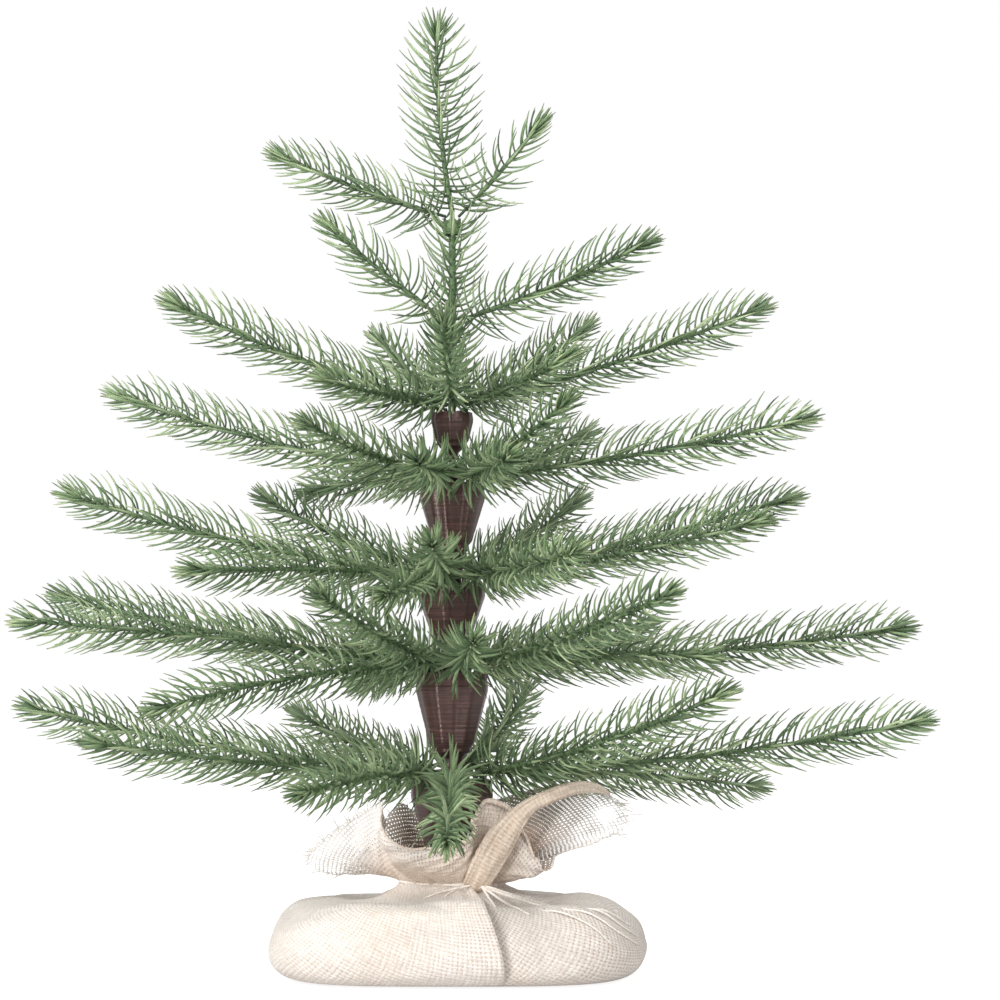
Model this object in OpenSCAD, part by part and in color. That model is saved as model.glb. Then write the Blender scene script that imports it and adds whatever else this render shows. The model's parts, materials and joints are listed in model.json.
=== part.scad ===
// Artificial tabletop tree: moulded sprigs on bendable wires, bound to a weighted trunk in a burlap wrap.
// Millimetres, +Z up. The origin is on the trunk's axis, at the floor.

/* [Base] */
// Width of the filled burlap wrap, left to right
bag_w = 230; // [222:1:236]
// Depth of the filled burlap wrap, front to back
bag_d = 212; // [206:1:224]
// Height of the wrap's plump shoulders
bag_h = 58; // [56:1:60]
// Side of the square cast cement weight
cement_w = 176; // [160:1:178]
// Thickness of the cement weight
cement_h = 28; // [26:1:30]
// Radius of the gathered neck under the twine
neck_r = 31; // [29:1:33]
// Height of the twine above the floor
neck_z = 56; // [55:1:58]
// Radius of the flared collar's rim
collar_r = 84; // [70:1:86]
// Height of the flared collar's rim
collar_z = 98; // [92:1:98]

/* [Trunk] */
// Outside radius of the steel trunk tube
tube_r = 6; // [5.5:0.1:6.2]
// Height at which the tube ends and the upper stem takes over
tube_top = 318; // [316:1:322]
// Radius of the green upper stem
upper_r = 2.6; // [2.2:0.1:2.8]
// Thickness of the wound thread
thread_wall = 1.8; // [1.2:0.1:2]

/* [Sprigs] */
// Radius of a sprig's moulded stem
rachis_r = 1.6; // [1.2:0.1:1.8]
// Radius of the bare wire between the hinge and the sprig
wire_r = 0.9; // [0.7:0.1:1.1]
// Length of that bare wire
wire_len = 12; // [8:1:16]
// Length of the leader at the very top
leader_len = 119; // [110:1:130]
// Lean of the leader away from vertical, in degrees
leader_lean = 5; // [0:1:8]
// Bend of the leader back towards vertical over its length, in degrees
leader_bend = 11; // [4:1:16]

/* [Hidden] */
$fn = 64;
cloth = 1.6;            // burlap thickness
gap = 0.15;             // running clearance where a bent wire stands in for a hinge
knuckle_r = 1.6;        // radius of the rounded bend in a wire
knuckle_w = 3.2;        // width of that bend along its axis
bound_r = 1.0;          // radius of a stem where it is bound to the trunk
bulb_r = 2.1;           // rounded end of the moulding, where the wire enters
bud_r = 1.9;            // bud at a sprig's tip
leader_r = 1.4;         // the leader's stem
fit = 0.05;             // radial clearance of the tube in the cement
spigot_r = 4.1;         // upper stem's plug inside the tube
spigot_len = 20;
cement_z = cloth + 1;   // underside of the cement
cement_corner = 40;
socket_floor = 4;       // cement left under the tube
bag_corner = 62;        // rounded corners of the wrap, seen from above
bag_edge = 22;          // rounded edges of the wrap, seen from the side
bag_x = 4;              // the wrap's bulk sits a little right of the trunk
throat_r = 19;          // hole through the gathered neck, for the trunk
dish_r = 86;            // the wrap's top sinks from here to the neck
dish_z = 50;            // height of the wrap's top beside the neck
twine_r = 1.1;

// Each tier: [height of its hinges, radius of its hinges, wrap's belly radius, wrap's waist radius,
// waist height, radius of the bound stems' lower ends, height where its thread starts]
TIERS = [
  [124, 20.5, 25.4, 15.2, 72, 11.9, 58],
  [192, 18.2, 22.2, 13.0, 136, 9.9, 126],
  [248, 17.0, 20.8, 11.8, 206, 8.7, 194],
  [311, 16.5, 20.2, 11.0, 263, 8.0, 250],
  [356, 9.8, 13.0, 9.4, 328, 6.4, 321],
  [410, 4.8, 6.6, 6.6, 398, 4.8, 398],
  [476, 4.8, 6.6, 6.6, 464, 4.8, 464]
];
BOUND_TIERS = 5;        // tiers bound with brown thread; the ones above are held with green tape

// Each sprig: [name, tier, azimuth, rise of its chord, length of its chord, bend over its length]
SPRIGS = [
  ["tier1_branch_a", 0, 172, 9, 256, 8],
  ["tier1_branch_b", 0, 201, 6, 208, 6],
  ["tier1_branch_c", 0, 126, 12, 164, 10],
  ["tier1_branch_d", 0, 238, -3, 140, -10],
  ["tier1_branch_e", 0, 270, -13, 152, -14],
  ["tier1_branch_f", 0, 353, 7, 272, 8],
  ["tier1_branch_g", 0, 322, 16, 190, 12],
  ["tier1_branch_h", 0, 24, -4, 197, -8],
  ["tier1_branch_i", 0, 75, 17, 172, 14],
  ["tier2_branch_a", 1, 187, 6, 248, -5],
  ["tier2_branch_b", 1, 163, 10, 255, 7],
  ["tier2_branch_c", 1, 216, -8, 194, -12],
  ["tier2_branch_d", 1, 245, 15, 160, 8],
  ["tier2_branch_e", 1, 276.8, 8, 112, 12],
  ["tier2_branch_f", 1, 5, 5, 270, 7],
  ["tier2_branch_g", 1, 306, 12, 200, 10],
  ["tier2_branch_h", 1, 341, 1, 148, -14],
  ["tier2_branch_i", 1, 50, 8, 184, 8],
  ["tier2_branch_j", 1, 110, -5, 184, -8],
  ["tier3_branch_a", 2, 179, 13, 230, 10],
  ["tier3_branch_b", 2, 208, 0, 158, -6],
  ["tier3_branch_c", 2, 139, 20, 160, 8],
  ["tier3_branch_d", 2, 265.2, 9, 106, 12],
  ["tier3_branch_e", 2, 14, 14, 214, 6],
  ["tier3_branch_f", 2, 332, 9, 194, 8],
  ["tier3_branch_g", 2, 297, 4, 146, 8],
  ["tier3_branch_h", 2, 61, 20, 166, 8],
  ["tier3_branch_i", 2, 251.8, -9, 104, -8],
  ["tier4_branch_a", 3, 167, 15, 214, 8],
  ["tier4_branch_b", 3, 0, 10, 208, 8],
  ["tier4_branch_c", 3, 231, 12, 120, 10],
  ["tier4_branch_d", 3, 290, 4, 86, 12],
  ["tier4_branch_e", 3, 311, 24, 98, 8],
  ["tier4_branch_f", 3, 54, 15, 140, 8],
  ["tier4_branch_g", 3, 131, -2, 132, -8],
  ["tier4_branch_h", 3, 259, 2, 84, 8],
  ["tier5_branch_a", 4, 192, 20, 176, 10],
  ["tier5_branch_b", 4, 9, 19, 200, 8],
  ["tier5_branch_c", 4, 222, 7, 92, 10],
  ["tier5_branch_d", 4, 325, 19, 82, 12],
  ["tier5_branch_e", 4, 47, 27, 132, 8],
  ["tier5_branch_f", 4, 116, 27, 118, 10],
  ["tier5_branch_g", 4, 268, 26, 98, 10],
  ["tier6_branch_a", 5, 184, 39, 94, 6],
  ["tier6_branch_b", 5, 353, 22, 126, 10],
  ["tier7_branch_a", 6, 175, 21, 112, 8],
  ["tier7_branch_b", 6, 343, 47, 76, 6]
];

FIXED = ["cement_base", "burlap_wrap", "neck_twine", "trunk_tube", "upper_stem", "bound_stems", "tape_bindings",
  "thread_wrap_1", "thread_wrap_2", "thread_wrap_3", "thread_wrap_4", "thread_wrap_5", "leader_tip"];

GREEN = "#5f8f5c";
BROWN = "#4a2c27";
BURLAP = "#d9c0a0";

// A rounded square plate standing on z = 0.
module slab(side, corner, h) {
  linear_extrude(h) {
    for (swap = [0, 90]) rotate(swap) square([side, side - 2 * corner], center = true);
    for (x = [-1, 1], y = [-1, 1]) translate([x, y] * (side / 2 - corner)) circle(corner);
  }
}

module cement_base() {
  color("#b9b6ae")
    difference() {
      translate([0, 0, cement_z]) slab(cement_w, cement_corner, cement_h);
      translate([0, 0, cement_z + socket_floor]) cylinder(r = tube_r + fit, h = cement_h);
    }
}

// The plump cushion form of the wrap, made smaller all round by inset.
module cushion(inset) {
  edge = bag_edge - inset;
  core = bag_corner - inset - edge;
  hull()
    for (x = [-1, 1], y = [-1, 1], z = [bag_edge, bag_h - bag_edge])
      translate([bag_x + x * (bag_w / 2 - bag_corner), y * (bag_d / 2 - bag_corner), z])
        rotate_extrude($fn = 32) translate([core, 0]) circle(edge, $fn = 32);
}

// The hollow that the wrap's top sinks into round the neck, lowered by drop.
module dish(drop) {
  rotate_extrude()
    polygon([[0, dish_z - drop], [neck_r, dish_z - drop], [dish_r, bag_h - drop], [dish_r, bag_h + 1],
      [0, bag_h + 1]]);
}

// The gathered neck and the cloth flaring out above it.
module collar() {
  lip = cloth + 0.6;
  skirt = 3;
  flare_z = neck_z + 4;
  mouth_z = neck_z + 8;
  rotate_extrude()
    polygon([[throat_r, dish_z - cloth], [neck_r + skirt, dish_z - cloth], [neck_r, dish_z + 2],
      [neck_r, flare_z], [collar_r, collar_z - lip], [collar_r - cloth, collar_z],
      [neck_r - 5, mouth_z], [throat_r, mouth_z]]);
}

module burlap_wrap() {
  color(BURLAP) {
    difference() {
      cushion(0);
      dish(0);
      difference() {
        cushion(cloth);
        dish(cloth);
      }
      translate([0, 0, cloth + 1]) cylinder(r = throat_r, h = bag_h);
    }
    collar();
  }
}

module ring(r, z, thick) {
  translate([0, 0, z]) rotate_extrude() translate([r, 0]) circle(thick, $fn = 24);
}

module neck_twine() {
  knot_r = 3;
  knot_side = -35;
  rising = 21;
  loose_end = 60;
  loose_r = 0.8;
  turn_pitch = 2 * twine_r + 0.1;
  color("#e6d3b4") {
    for (turn = [-0.5, 0.5]) ring(neck_r + twine_r + 0.1, neck_z + turn * turn_pitch, twine_r);
    rotate(knot_side) translate([neck_r + turn_pitch + knot_r + 0.1, 0, neck_z]) {
      sphere(knot_r, $fn = 32);
      for (side = [-14, 38]) rotate([0, 90 - rising, side]) cylinder(r = loose_r, h = loose_end, $fn = 24);
    }
  }
}

module trunk_tube() {
  foot = cement_z + socket_floor + fit;
  color("#3a2b28")
    difference() {
      translate([0, 0, foot]) cylinder(r = tube_r, h = tube_top - foot);
      translate([0, 0, foot + 1]) cylinder(r = spigot_r + fit, h = tube_top);
    }
}

module upper_stem() {
  color(GREEN) {
    translate([0, 0, tube_top - spigot_len]) cylinder(r = spigot_r, h = spigot_len);
    translate([0, 0, tube_top - 1]) cylinder(r = upper_r, h = TIERS[6][0] + 1 - tube_top);
  }
}

// The fixed lower part of one stem, from the trunk up to just under its bend.
module bound_stem(tier, azimuth) {
  top = [tier[1], tier[0]];
  foot = [tier[5], tier[4] + 4];
  run = top - foot;
  rotate(azimuth) translate([foot[0], 0, foot[1]])
    rotate([0, atan2(run[0], run[1]), 0]) cylinder(r = bound_r, h = norm(run) - knuckle_r - gap);
}

module taped_stem(tier, azimuth) {
  rotate(azimuth) translate([tier[1], 0, tier[4] + 1.5])
    cylinder(r = wire_r, h = tier[0] - tier[4] - 1.5 - knuckle_r - gap);
}

module bound_stems() {
  color(GREEN)
    for (s = SPRIGS)
      if (s[1] < BOUND_TIERS) bound_stem(TIERS[s[1]], s[2]);
      else taped_stem(TIERS[s[1]], s[2]);
}

// A wound sleeve: tight on the trunk at its lower end, and open at the top where the stems splay out.
module thread_wrap(number) {
  tier = TIERS[number - 1];
  top = tier[0] - 5;
  low = tier[4];
  belly = top - 0.22 * (top - low);
  core = (number < BOUND_TIERS ? tube_r : upper_r) + fit;
  neck = core + thread_wall / 2;
  color(BROWN)
    rotate_extrude()
      polygon([[core, tier[6]], [neck, tier[6]], [neck, low - 3], [tier[3], low + 2], [tier[2], belly],
        [tier[2] - 0.8, top], [tier[2] - 0.8 - thread_wall, top], [tier[2] - thread_wall, belly],
        [tier[3] - thread_wall, low + 3], [core, low + 3]]);
}

module tape_bindings() {
  color("#4f7a4c")
    for (tier = [TIERS[5], TIERS[6]])
      translate([0, 0, tier[4]])
        difference() {
          cylinder(r = tier[2], h = 9);
          translate([0, 0, -1]) cylinder(r = upper_r + fit, h = 11);
          translate([0, 0, 1]) cylinder(r = tier[2] - 0.8, h = 9);
        }
}

// A rod that starts at the origin along +X, raised by rise, and bends upwards by bend over its chord.
module bent_rod(r, chord, rise, bend) {
  if (bend < 0) mirror([0, 0, 1]) bent_rod(r, chord, -rise, -bend);
  else {
    big_r = chord / (2 * sin(bend / 2));
    start = rise - bend / 2;
    translate([-big_r * sin(start), 0, big_r * cos(start)])
      rotate([90, 0, 0]) rotate([0, 0, start - 90])
        rotate_extrude(angle = bend, $fn = 360) translate([big_r, 0]) circle(r, $fn = 32);
  }
}

// A whole sprig in its own frame: hinge at the origin, pointing along +X.
module sprig(chord, rise, bend) {
  start = rise - bend / 2;
  moulding = chord - wire_len;
  rotate([90, 0, 0]) cylinder(r = knuckle_r, h = knuckle_w, center = true);
  rotate([0, 90 - start, 0]) cylinder(r = wire_r, h = wire_len + 1);
  translate([wire_len * cos(start), 0, wire_len * sin(start)]) {
    sphere(bulb_r, $fn = 32);
    bent_rod(rachis_r, moulding, rise, bend);
    translate([moulding * cos(rise), 0, moulding * sin(rise)]) sphere(bud_r, $fn = 32);
  }
}

module branch(s) {
  tier = TIERS[s[1]];
  color(GREEN) rotate(s[2]) translate([tier[1], 0, tier[0]]) sprig(s[4], s[3], s[5]);
}

module leader_tip() {
  chord = leader_len - bud_r;
  color(GREEN)
    translate([0, 0, TIERS[6][0] + knuckle_r + gap]) {
      rotate([0, 90, 0]) cylinder(r = knuckle_r, h = knuckle_w, center = true);
      mirror([1, 0, 0]) bent_rod(leader_r, chord, 90 - leader_lean, leader_bend);
      translate([-chord * sin(leader_lean), 0, chord * cos(leader_lean)]) sphere(bud_r);
    }
}

cement_base();
burlap_wrap();
neck_twine();
trunk_tube();
upper_stem();
bound_stems();
tape_bindings();
thread_wrap(1);  // thread_wrap_1
thread_wrap(2);  // thread_wrap_2
thread_wrap(3);  // thread_wrap_3
thread_wrap(4);  // thread_wrap_4
thread_wrap(5);  // thread_wrap_5
leader_tip();
for (s = SPRIGS) branch(s);
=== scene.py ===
"""Looks of the artificial tabletop tree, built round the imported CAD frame.

Every sprig is a moulded stem with curved needles, the trunk is wound with glossy thread, and the base is
burlap cloth gathered over a cast weight and tied with twine. Lengths are in metres, apart from the tables
whose comments say mm.
"""

import json
import math

import bpy
import numpy as np
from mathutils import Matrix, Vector


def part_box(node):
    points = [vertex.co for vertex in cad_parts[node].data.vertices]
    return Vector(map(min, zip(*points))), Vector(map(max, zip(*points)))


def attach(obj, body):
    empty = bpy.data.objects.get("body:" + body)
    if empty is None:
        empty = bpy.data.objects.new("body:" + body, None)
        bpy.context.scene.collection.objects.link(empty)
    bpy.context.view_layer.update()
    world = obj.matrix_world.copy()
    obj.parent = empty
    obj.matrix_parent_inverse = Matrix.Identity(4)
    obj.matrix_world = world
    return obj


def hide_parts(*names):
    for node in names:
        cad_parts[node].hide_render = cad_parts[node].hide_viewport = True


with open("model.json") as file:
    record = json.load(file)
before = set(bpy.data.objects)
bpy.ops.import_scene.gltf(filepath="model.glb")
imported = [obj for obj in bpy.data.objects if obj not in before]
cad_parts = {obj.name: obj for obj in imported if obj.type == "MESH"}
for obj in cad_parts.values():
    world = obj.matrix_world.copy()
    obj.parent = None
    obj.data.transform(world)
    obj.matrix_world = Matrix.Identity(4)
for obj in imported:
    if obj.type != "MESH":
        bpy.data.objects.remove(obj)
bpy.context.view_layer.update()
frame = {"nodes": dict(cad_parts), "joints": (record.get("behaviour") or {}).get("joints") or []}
MM = 0.001
UP = np.array([0.0, 0.0, 1.0])
JOINTS = {joint["child"]: joint for joint in frame["joints"]}


# ---------------------------------------------------------------- small mathematics


def unit(v):
    """v, or each row of it, scaled to length one."""
    return v / np.maximum(np.linalg.norm(v, axis=-1, keepdims=True), 1e-12)


def smooth(x, low, high):
    """0 below low, 1 above high, and an easy curve between."""
    t = np.clip((x - low) / (high - low), 0, 1)
    return t * t * (3 - 2 * t)


def waves(rng, count, lowest, highest):
    """A repeatable sum of waves round a circle, about -1 to 1, with whole numbers of crests."""
    crests = rng.integers(lowest, highest + 1, count)
    phases = rng.uniform(0, 2 * math.pi, count)
    sizes = rng.uniform(0.5, 1, count)

    def height(angle):
        return sum(s * np.sin(k * angle + p) for k, p, s in zip(crests, phases, sizes)) / sizes.sum()

    return height


def between(a, b, c, d, t):
    """A smooth curve from b to c at share t, where a and d are the points before and after them."""
    return 0.5 * (2 * b + (c - a) * t + (2 * a - 5 * b + 4 * c - d) * t**2 + (3 * b - a - 3 * c + d) * t**3)


def walk(path):
    """Length walked along a path up to each of its points."""
    return np.concatenate([[0], np.cumsum(np.linalg.norm(np.diff(path, axis=0), axis=1))])


def through(points, count):
    """count points, evenly spaced, along a smooth curve through the given ones."""
    points = np.asarray(points, float)
    padded = np.vstack([2 * points[0] - points[1], points, 2 * points[-1] - points[-2]])
    t = np.linspace(0, 1, 24, endpoint=False)[:, None]
    fine = [between(*padded[i - 1 : i + 3], t) for i in range(1, len(padded) - 2)]
    fine = np.vstack(fine + [padded[-2:-1]])
    walked = walk(fine)
    wanted = np.linspace(0, walked[-1], count)
    return np.stack([np.interp(wanted, walked, fine[:, k]) for k in range(fine.shape[1])], axis=1)


# ---------------------------------------------------------------- meshes


class Shape:
    """Collects vertices, faces, a material number for each face and named numbers for each vertex."""

    def __init__(self):
        self.verts, self.faces, self.kinds, self.values = [], [], [], {}
        self.count = 0
        self.uv = None

    def add(self, verts, faces, kind=0, **values):
        verts = np.asarray(verts, float).reshape(-1, 3)
        for face_set in faces:
            self.faces += (np.asarray(face_set) + self.count).tolist()
            self.kinds += [kind] * len(face_set)
        for key, value in values.items():
            column = np.broadcast_to(np.asarray(value, float).ravel(), len(verts))
            self.values.setdefault(key, []).append((self.count, column))
        self.verts.append(verts)
        self.count += len(verts)

    def build(self, name, body, slot, materials, replaces=()):
        mesh = bpy.data.meshes.new(name)
        mesh.from_pydata(np.vstack(self.verts).tolist(), [], self.faces)
        for key, chunks in self.values.items():
            column = np.zeros(self.count, np.float32)
            for start, part in chunks:
                column[start : start + len(part)] = part
            mesh.attributes.new(key, "FLOAT", "POINT").data.foreach_set("value", column)
        if self.uv is not None:
            corners = np.zeros(len(mesh.loops), np.int32)
            mesh.loops.foreach_get("vertex_index", corners)
            layer = mesh.uv_layers.new(name="cloth")
            layer.data.foreach_set("uv", self.uv[corners].astype(np.float32).ravel())
        for material in materials:
            mesh.materials.append(material)
        mesh.polygons.foreach_set("material_index", self.kinds)
        mesh.polygons.foreach_set("use_smooth", [True] * len(self.faces))
        obj = bpy.data.objects.new(name, mesh)
        bpy.context.scene.collection.objects.link(obj)
        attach(obj, body)
        if replaces:
            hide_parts(*replaces)
        return obj


def grid_faces(rows, columns, wrap):
    """Quads of a rows by columns grid of vertices, closed across the columns if wrap is true."""
    r = np.arange(rows - 1)[:, None]
    c = np.arange(columns if wrap else columns - 1)[None, :]
    beside = (c + 1) % columns
    low, high = r * columns, (r + 1) * columns
    return np.stack([low + c, low + beside, high + beside, high + c], axis=-1).reshape(-1, 4)


def sweep(path, radii, sides, twist=0.0, lobes=0, lobe_depth=0.0):
    """Vertices and faces of a rod along path, with pointed ends. lobes gives it strands, twisted along it."""
    path = np.asarray(path, float)
    count = len(path)
    radii = np.broadcast_to(np.asarray(radii, float), count)
    tangents = unit(np.gradient(path, axis=0))
    across = np.zeros_like(path)
    start = UP if abs(tangents[0] @ UP) < 0.9 else np.array([1.0, 0, 0])
    across[0] = unit(np.cross(tangents[0], start))
    for i in range(1, count):
        across[i] = unit(across[i - 1] - tangents[i] * (across[i - 1] @ tangents[i]))
    other = np.cross(tangents, across)
    angle = np.linspace(0, 2 * math.pi, sides, endpoint=False)[None, :]
    strands = np.abs(np.cos(lobes * (angle + twist * walk(path)[:, None]) / 2))
    rim = radii[:, None] * (1 - lobe_depth + lobe_depth * strands)
    ring = path[:, None] + rim[..., None] * (
        np.cos(angle)[..., None] * across[:, None] + np.sin(angle)[..., None] * other[:, None]
    )
    ends = path[0] - tangents[0] * radii[0] / 2, path[-1] + tangents[-1] * radii[-1] / 2
    verts = np.vstack([ring.reshape(-1, 3), *ends])
    c = np.arange(sides)
    first, last = count * sides, count * sides + 1
    low = np.stack([np.full(sides, first), (c + 1) % sides, c], axis=1)
    top = (count - 1) * sides
    high = np.stack([np.full(sides, last), top + c, top + (c + 1) % sides], axis=1)
    return verts, [grid_faces(count, sides, True), low, high]


# ---------------------------------------------------------------- node materials


class Nodes:
    """A short way to write a node tree."""

    def __init__(self, name):
        self.material = bpy.data.materials.new(name)
        self.material.use_nodes = True
        self.tree = self.material.node_tree
        self.surface = self.tree.nodes["Principled BSDF"]

    def node(self, kind, output=0, settings=None, **inputs):
        made = self.tree.nodes.new("ShaderNode" + kind)
        for key, value in (settings or {}).items():
            setattr(made, key, value)
        for key, value in inputs.items():
            socket = made.inputs[int(key[1:])] if key[0] == "i" and key[1:].isdigit() else made.inputs[key]
            self.join(value, socket)
        return made.outputs[output]

    def join(self, value, socket):
        if isinstance(value, bpy.types.NodeSocket):
            self.tree.links.new(value, socket)
        else:
            socket.default_value = value

    def math(self, operation, a, b):
        return self.node("Math", settings={"operation": operation}, i0=a, i1=b)

    def vector(self, operation, a, **inputs):
        return self.node("VectorMath", settings={"operation": operation}, i0=a, **inputs)

    def part(self, vector):
        """A vector's three numbers."""
        made = self.tree.nodes.new("ShaderNodeSeparateXYZ")
        self.join(vector, made.inputs[0])
        return made.outputs

    def attribute(self, name):
        return self.node("Attribute", "Fac", settings={"attribute_name": name})

    def noise(self, scale, vector=None, detail=3.0, output="Fac"):
        inputs = {"Scale": scale, "Detail": detail}
        if vector is not None:
            inputs["Vector"] = vector
        return self.node("TexNoise", output, **inputs)

    def ramp(self, value, *stops):
        """A colour ramp through (place, colour) stops."""
        made = self.tree.nodes.new("ShaderNodeValToRGB")
        steps = made.color_ramp.elements
        while len(steps) < len(stops):
            steps.new(0.5)
        for step, (place, colour) in zip(steps, stops):
            step.position = place
            step.color = (*colour, 1)
        self.join(value, made.inputs["Fac"])
        return made.outputs["Color"]

    def mix(self, share, a, b, blend="MIX"):
        made = self.tree.nodes.new("ShaderNodeMix")
        made.data_type = "RGBA"
        made.blend_type = blend
        for value, key in ((share, 0), (a, 6), (b, 7)):
            self.join((*value, 1) if isinstance(value, tuple) else value, made.inputs[key])
        return made.outputs[2]

    def bump(self, height, distance, strength=1.0):
        bumps = self.node("Bump", Height=height, Distance=distance, Strength=strength)
        self.join(bumps, self.surface.inputs["Normal"])

    def finish(self, **inputs):
        for key, value in inputs.items():
            self.join(value, self.surface.inputs[key.replace("_", " ")])
        return self.material


def object_place(n):
    return n.node("TexCoord", "Object")


def needle_material():
    """Moulded polyethylene: each needle its own green, with painted shade darkening it towards its base by
    the stem, and a little browner at the end.
    """
    n = Nodes("moulded_needles")
    place = object_place(n)
    own = n.attribute("tint")
    along = n.attribute("along")
    patch = n.noise(26.0, place, 2.0)
    shade = n.math("ADD", n.math("MULTIPLY", own, 0.62), n.math("MULTIPLY", patch, 0.38))
    green = n.ramp(
        shade, (0.12, (0.042, 0.080, 0.036)), (0.45, (0.165, 0.258, 0.124)), (0.82, (0.470, 0.580, 0.340))
    )
    # painted shade: each needle is darkened towards its base, where it sits among the others by the stem; its
    # end turns a little browner
    deep = n.ramp(
        along,
        (0.0, (0.30, 0.34, 0.27)), (0.30, (0.84, 0.87, 0.80)), (0.70, (1, 1, 1)), (1.0, (0.80, 0.70, 0.62)),
    )
    colour = n.mix(1.0, green, deep, "MULTIPLY")
    streak = n.noise(2600.0, place, 2.0)
    n.bump(streak, 0.00012, 0.5)
    rough = n.math("ADD", 0.40, n.math("MULTIPLY", n.noise(340.0, place, 2.0), 0.2))
    return n.finish(Base_Color=colour, Roughness=rough, Specular_IOR_Level=0.45, Sheen_Weight=0.08)


def stem_material():
    """The moulded stem and its needle seats: olive green, browner towards the trunk."""
    n = Nodes("moulded_stem")
    place = object_place(n)
    along = n.attribute("along")
    mottled = n.ramp(n.noise(420.0, place, 4.0), (0.3, (0.050, 0.100, 0.042)), (0.7, (0.125, 0.205, 0.085)))
    brown = n.ramp(along, (0.0, (0.45, 0.45, 0.45)), (0.08, (0.05, 0.05, 0.05)))
    colour = n.mix(brown, mottled, (0.085, 0.075, 0.040))
    n.bump(n.noise(900.0, place, 3.0), 0.0003, 0.6)
    return n.finish(Base_Color=colour, Roughness=0.55)


def wire_material():
    """Green paper-coated iron wire, worn to bare metal in spots."""
    n = Nodes("coated_wire")
    place = object_place(n)
    wear = n.ramp(n.noise(600.0, place, 5.0), (0.62, (0, 0, 0)), (0.72, (1, 1, 1)))
    paint = n.ramp(n.noise(220.0, place, 3.0), (0.3, (0.022, 0.050, 0.022)), (0.7, (0.055, 0.100, 0.046)))
    n.bump(n.noise(1500.0, place, 2.0), 0.0002, 0.5)
    colour = n.mix(wear, paint, (0.16, 0.15, 0.13))
    return n.finish(Base_Color=colour, Roughness=0.48, Metallic=n.math("MULTIPLY", wear, 0.6))


def weave_nodes(n, pitch):
    """Numbers of a coarse plain weave, from the cloth's own coordinates: height, how near a point is to a
    thread's middle, and how thick and pale its thread is there."""
    place = n.node("UVMap", settings={"uv_map": "cloth"})
    wobble = n.vector("SCALE", n.noise(34.0, place, 2.0, "Color"), Scale=0.0030)
    moved = n.part(n.vector("ADD", place, i1=wobble))
    su, sv = (n.math("SINE", n.math("MULTIPLY", moved[k], math.pi / pitch), 0.0) for k in (0, 1))
    warp, weft = n.math("ABSOLUTE", su, 0.0), n.math("ABSOLUTE", sv, 0.0)
    over = n.math("MULTIPLY", n.math("MULTIPLY", su, sv), 0.4)
    warp_top = n.math("MULTIPLY", n.math("POWER", warp, 0.6), n.math("ADD", 0.6, over))
    weft_top = n.math("MULTIPLY", n.math("POWER", weft, 0.6), n.math("SUBTRACT", 0.6, over))
    height = n.math("MAXIMUM", warp_top, weft_top)
    cover = n.math("MAXIMUM", warp, weft)
    runs = (90.0, 900.0, 1.0), (900.0, 90.0, 1.0)
    slubs = [n.noise(1.0, n.vector("MULTIPLY", place, i1=run), 2.0) for run in runs]
    slub = n.math("ADD", n.math("MULTIPLY", slubs[0], 0.5), n.math("MULTIPLY", slubs[1], 0.5))
    return height, cover, slub


WEAVE_PITCH = 2.7 * MM  # from one thread of the burlap to the next


def burlap_material(name, open_weave, tone=(1.0, 1.0, 1.0)):
    """Natural jute, a loose plain weave with slubby threads and painted shade between them. With open_weave,
    light passes between them.
    """
    n = Nodes(name)
    height, cover, slub = weave_nodes(n, WEAVE_PITCH)
    thread = n.ramp(
        slub, (0.34, (0.64, 0.572, 0.524)), (0.5, (0.75, 0.695, 0.652)), (0.66, (0.86, 0.825, 0.79))
    )
    blotch = n.ramp(n.noise(17.0, object_place(n), 3.0), (0.35, (0.93, 0.90, 0.86)), (0.65, (1.0, 1.0, 1.0)))
    # painted shade: the low places between threads are darkened, more strongly in random patches
    gap_shade = n.ramp(height, (0.28, (0.62, 0.52, 0.44)), (0.62, (1, 1, 1)))
    gap_shade_share = n.ramp(n.noise(13.0, object_place(n), 2.0), (0.36, (0.30, 0.30, 0.30)), (0.66, (1.0, 1.0, 1.0)))
    colour = n.mix(gap_shade_share, n.mix(1.0, thread, blotch, "MULTIPLY"), gap_shade, "MULTIPLY")
    colour = n.mix(1.0, colour, tone, "MULTIPLY")
    fuzz = n.noise(2400.0, object_place(n), 3.0)
    n.bump(n.math("ADD", height, n.math("MULTIPLY", fuzz, 0.22)), 0.00055, 0.9)
    inputs = {"Base_Color": colour, "Roughness": 0.92, "Specular_IOR_Level": 0.12, "Sheen_Weight": 0.25}
    if open_weave:
        edge = n.attribute("sheer")
        opening = n.math("ADD", n.math("MULTIPLY", edge, 0.76), n.math("MULTIPLY", slub, -0.24))
        uneven = n.math("MULTIPLY", n.math("SUBTRACT", n.noise(120.0, object_place(n)), 0.5), 0.55)
        limit = n.math("ADD", n.math("ADD", 0.30, opening), uneven)
        inputs["Alpha"] = n.math("GREATER_THAN", cover, limit)
        # painted shade: where the collar is not sheer, the cloth is tinted tan, standing in for light
        # scattered between its folds
        tan = n.mix(n.ramp(edge, (0.0, (1, 1, 1)), (0.55, (0, 0, 0))), (1.0, 1.0, 1.0), (1.0, 0.93, 0.865))
        # painted shade: the collar's inner face, away from its rolled hem, is tinted brown as if lying in
        # shadow
        outside = n.math("MAXIMUM", n.node("NewGeometry", "Backfacing"), n.attribute("hem"))
        inner = n.mix(outside, (0.74, 0.57, 0.45), (1.0, 1.0, 1.0))
        colour = n.mix(1.0, n.mix(1.0, colour, tan, "MULTIPLY"), inner, "MULTIPLY")
        # painted light: towards its sheer rim the cloth is paled to near white, brightening it where it lies
        # in shade
        inputs["Base_Color"] = n.mix(n.math("MULTIPLY", edge, 0.8), colour, (0.94, 0.92, 0.90))
    return n.finish(**inputs)


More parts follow.
